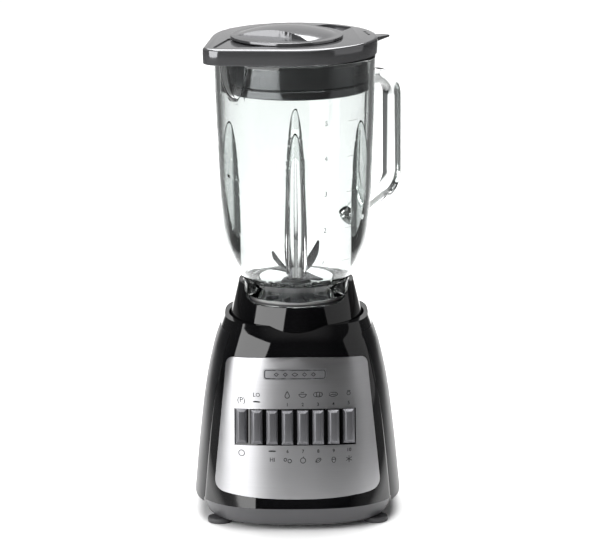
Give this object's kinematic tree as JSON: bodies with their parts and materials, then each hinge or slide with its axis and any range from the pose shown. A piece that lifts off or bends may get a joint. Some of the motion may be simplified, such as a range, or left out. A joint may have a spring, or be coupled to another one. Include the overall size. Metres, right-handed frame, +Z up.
{
  "type": "countertop blender",
  "caption": "Countertop blender with a handled glass jar, clip-in lid with filler cap, black tapered motor base, curved steel panel and a row of piano-key speed buttons.",
  "frame": {"origin": "motor axis at counter level, on the plane of the feet", "axes": "+X to the right seen from the front, +Y to the back, +Z up along the motor axis"},
  "size_m": [0.1664, 0.163, 0.3878],
  "materials": {
    "gloss_black": "high gloss moulded",
    "satin_dark": "satin moulded",
    "brushed_steel_panel": "brushed stainless",
    "badge_metal": "stamped",
    "switch_plastic": "moulded",
    "terminal_brass": "stamped",
    "satin_grey": "satin moulded",
    "screw_steel": "zinc plated",
    "foot_rubber": "moulded",
    "inlet_plastic": "moulded",
    "lamination_steel": "stacked laminations",
    "copper_winding": "enamelled copper wire",
    "bearing_bronze": "sintered",
    "bracket_steel": "zinc plated sheet",
    "mount_rubber": "moulded",
    "carbon": "pressed carbon",
    "spring_steel": "drawn wire",
    "board_laminate": "laminate",
    "shaft_steel": "ground",
    "fan_plastic": "moulded",
    "commutator_copper": "turned copper",
    "coupling_metal": "sintered",
    "collar_black": "high gloss moulded",
    "blade_housing_plastic": "moulded",
    "seal_rubber": "moulded",
    "gasket_silicone": "moulded silicone",
    "blade_steel": "ground stainless",
    "jar_glass": "pressed clear glass",
    "lid_plastic": "satin moulded",
    "lid_gasket_plastic": "moulded",
    "cap_plastic": "satin moulded",
    "key_plastic": "painted satin silver grey"
  },
  "bodies": {
    "base": {"base_housing": "gloss_black", "left_side_panel": "satin_dark", "right_side_panel": "satin_dark", "control_panel": "brushed_steel_panel", "badge_plate": "badge_metal", "switch_bank": "switch_plastic", "switch_terminals": "terminal_brass", "bottom_cover": "satin_grey", "cover_screws": "screw_steel", "rubber_feet": "foot_rubber", "cord_inlet_bush": "inlet_plastic", "stator_core": "lamination_steel", "field_coils": "copper_winding", "upper_bushing": "bearing_bronze", "lower_bushing": "bearing_bronze", "upper_bracket": "bracket_steel", "lower_bracket": "bracket_steel", "motor_mounts": "mount_rubber", "motor_screws": "screw_steel", "brush_holders": "terminal_brass", "carbon_brushes": "carbon", "brush_springs": "spring_steel", "diode_board": "board_laminate"},
    "rotor": {"motor_shaft": "shaft_steel", "cooling_fan": "fan_plastic", "commutator": "commutator_copper", "armature_core": "lamination_steel", "armature_windings": "copper_winding", "slinger": "fan_plastic", "drive_coupling": "coupling_metal"},
    "jar_base": {"jar_collar": "collar_black", "blade_housing": "blade_housing_plastic", "blade_bushing": "bearing_bronze", "shaft_seal": "seal_rubber", "jar_gasket": "gasket_silicone"},
    "blades": {"blade_shaft": "blade_steel", "upper_blade": "blade_steel", "lower_blade": "blade_steel", "blade_washer": "blade_steel", "blade_nut": "blade_steel", "jar_drive_socket": "coupling_metal"},
    "jar": {"glass_jar": "jar_glass"},
    "lid": {"lid": "lid_plastic", "lid_gasket": "lid_gasket_plastic"},
    "cap": {"filler_cap": "cap_plastic"},
    "button_pulse_off": {"button_pulse_off": "key_plastic"},
    "button_low": {"button_low": "key_plastic"},
    "button_high": {"button_high": "key_plastic"},
    "button_speed_1_6": {"button_speed_1_6": "key_plastic"},
    "button_speed_2_7": {"button_speed_2_7": "key_plastic"},
    "button_speed_3_8": {"button_speed_3_8": "key_plastic"},
    "button_speed_4_9": {"button_speed_4_9": "key_plastic"},
    "button_speed_5_10": {"button_speed_5_10": "key_plastic"}
  },
  "joints": [
    {"name": "jar_lift", "type": "slide", "parent": "base", "child": "jar_base", "axis": [0, 0, 1], "range_m": [0, 0.06]},
    {"name": "jar_twist", "type": "hinge", "parent": "jar_base", "child": "jar", "pos_m": [0, 0, 0.18], "axis": [0, 0, 1], "range_deg": [0, 45]},
    {"name": "lid_lift", "type": "slide", "parent": "jar", "child": "lid", "axis": [0, 0, 1], "range_m": [0, 0.05]},
    {"name": "filler_cap_lift", "type": "slide", "parent": "lid", "child": "cap", "axis": [0, 0, 1], "range_m": [0, 0.04]},
    {"name": "rotor_spin", "type": "hinge", "parent": "base", "child": "rotor", "pos_m": [0, 0, 0.08], "axis": [0, 0, 1], "continuous": true},
    {"name": "blade_spin", "type": "hinge", "parent": "jar_base", "child": "blades", "pos_m": [0, 0, 0.18], "axis": [0, 0, 1], "continuous": true},
    {"name": "button_pulse_off_press", "type": "slide", "parent": "base", "child": "button_pulse_off", "axis": [0, 0.9886, -0.1506], "range_m": [0, 0.004], "stiffness_N_per_m": 300, "springref_m": -0.002},
    {"name": "button_low_press", "type": "slide", "parent": "base", "child": "button_low", "axis": [0, 0.9886, -0.1506], "range_m": [0, 0.004], "stiffness_N_per_m": 300, "springref_m": -0.002},
    {"name": "button_high_press", "type": "slide", "parent": "base", "child": "button_high", "axis": [0, 0.9886, -0.1506], "range_m": [0, 0.004], "stiffness_N_per_m": 300, "springref_m": -0.002},
    {"name": "button_speed_1_6_press", "type": "slide", "parent": "base", "child": "button_speed_1_6", "axis": [0, 0.9886, -0.1506], "range_m": [0, 0.004], "stiffness_N_per_m": 300, "springref_m": -0.002},
    {"name": "button_speed_2_7_press", "type": "slide", "parent": "base", "child": "button_speed_2_7", "axis": [0, 0.9886, -0.1506], "range_m": [0, 0.004], "stiffness_N_per_m": 300, "springref_m": -0.002},
    {"name": "button_speed_3_8_press", "type": "slide", "parent": "base", "child": "button_speed_3_8", "axis": [0, 0.9886, -0.1506], "range_m": [0, 0.004], "stiffness_N_per_m": 300, "springref_m": -0.002},
    {"name": "button_speed_4_9_press", "type": "slide", "parent": "base", "child": "button_speed_4_9", "axis": [0, 0.9886, -0.1506], "range_m": [0, 0.004], "stiffness_N_per_m": 300, "springref_m": -0.002},
    {"name": "button_speed_5_10_press", "type": "slide", "parent": "base", "child": "button_speed_5_10", "axis": [0, 0.9886, -0.1506], "range_m": [0, 0.004], "stiffness_N_per_m": 300, "springref_m": -0.002}
  ],
  "couplings": [
    {"joint": "blade_spin", "follows": "rotor_spin", "ratio": 1}
  ]
}
